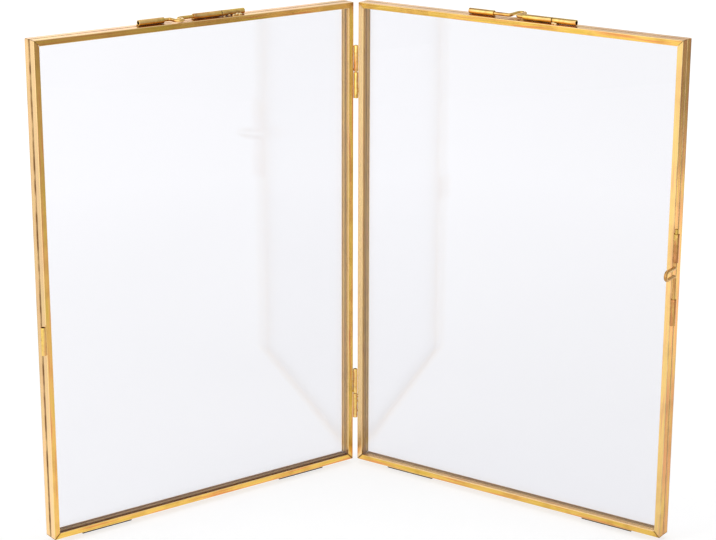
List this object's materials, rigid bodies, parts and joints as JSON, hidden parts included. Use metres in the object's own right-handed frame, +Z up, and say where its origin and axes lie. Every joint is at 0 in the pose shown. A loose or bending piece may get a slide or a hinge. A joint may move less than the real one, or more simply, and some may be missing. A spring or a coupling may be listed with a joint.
{
  "type": "hinged double photo frame",
  "caption": "Folding double photo frame: brass-edged glass leaves joined by barrel hinges, with backs that open at the bottom edge and sliding wire-pin clasps.",
  "frame": {"origin": "middle of the standing frame's footprint box, on the surface it stands on", "axes": "+X to the right seen from the front, +Y to the back, +Z up; the leaves stand open at 109 degrees with their fronts towards -Y"},
  "size_m": [0.2294, 0.0912, 0.1893],
  "materials": {
    "channel_brass": "drawn channel, lightly polished",
    "barrel_brass": "drawn tube with solder at its foot",
    "wire_brass": "bright drawn wire",
    "glass": "clear float glass, polished"
  },
  "bodies": {
    "left_front": {"fold_lower_left_knuckle": "barrel_brass", "fold_lower_pin": "wire_brass", "fold_upper_left_knuckle": "barrel_brass", "fold_upper_pin": "wire_brass", "left_bottom_inner_front_knuckle": "barrel_brass", "left_bottom_inner_pin": "wire_brass", "left_bottom_outer_front_knuckle": "barrel_brass", "left_bottom_outer_pin": "wire_brass", "left_clasp_keeper": "barrel_brass", "left_front_bottom_rail": "channel_brass", "left_front_glass": "glass", "left_front_inner_rail": "channel_brass", "left_front_outer_rail": "channel_brass", "left_front_top_rail": "channel_brass", "side_clasp_keeper": "barrel_brass"},
    "right_front": {"fold_lower_right_knuckle": "barrel_brass", "fold_upper_right_knuckle": "barrel_brass", "right_bottom_inner_front_knuckle": "barrel_brass", "right_bottom_inner_pin": "wire_brass", "right_bottom_outer_front_knuckle": "barrel_brass", "right_bottom_outer_pin": "wire_brass", "right_clasp_keeper": "barrel_brass", "right_front_bottom_rail": "channel_brass", "right_front_glass": "glass", "right_front_inner_rail": "channel_brass", "right_front_outer_rail": "channel_brass", "right_front_top_rail": "channel_brass", "side_clasp_lower_guide": "barrel_brass", "side_clasp_upper_guide": "barrel_brass"},
    "left_back": {"left_back_bottom_rail": "channel_brass", "left_back_glass": "glass", "left_back_inner_rail": "channel_brass", "left_back_outer_rail": "channel_brass", "left_back_top_rail": "channel_brass", "left_bottom_inner_back_knuckle": "barrel_brass", "left_bottom_outer_back_knuckle": "barrel_brass", "left_clasp_long_guide": "barrel_brass", "left_clasp_short_guide": "barrel_brass"},
    "right_back": {"right_back_bottom_rail": "channel_brass", "right_back_glass": "glass", "right_back_inner_rail": "channel_brass", "right_back_outer_rail": "channel_brass", "right_back_top_rail": "channel_brass", "right_bottom_inner_back_knuckle": "barrel_brass", "right_bottom_outer_back_knuckle": "barrel_brass", "right_clasp_long_guide": "barrel_brass", "right_clasp_short_guide": "barrel_brass"},
    "left_top_pin": {"left_clasp_pin": "wire_brass"},
    "right_top_pin": {"right_clasp_pin": "wire_brass"},
    "side_pin": {"side_clasp_pin": "wire_brass"}
  },
  "joints": [
    {"name": "fold", "type": "hinge", "parent": "left_front", "child": "right_front", "pos_m": [0, 0.0408, 0.0945], "axis": [0, 0, 1], "range_deg": [-109, 71]},
    {"name": "left_back_hinge", "type": "hinge", "parent": "left_front", "child": "left_back", "pos_m": [-0.11286, -0.03552, 0.0009], "axis": [-0.8141, -0.5807, 0], "range_deg": [0, 85]},
    {"name": "right_back_hinge", "type": "hinge", "parent": "right_front", "child": "right_back", "pos_m": [0.00279, 0.04299, 0.0009], "axis": [-0.8141, 0.5807, 0], "range_deg": [0, 85]},
    {"name": "left_clasp_slide", "type": "slide", "parent": "left_back", "child": "left_top_pin", "axis": [0.8141, 0.5807, 0], "range_m": [-0.0015, 0.0052]},
    {"name": "right_clasp_slide", "type": "slide", "parent": "right_back", "child": "right_top_pin", "axis": [0.8141, -0.5807, 0], "range_m": [-0.0052, 0.0015]},
    {"name": "side_clasp_slide", "type": "slide", "parent": "right_front", "child": "side_pin", "axis": [0, 0, -1], "range_m": [-0.0007, 0.0074]}
  ]
}
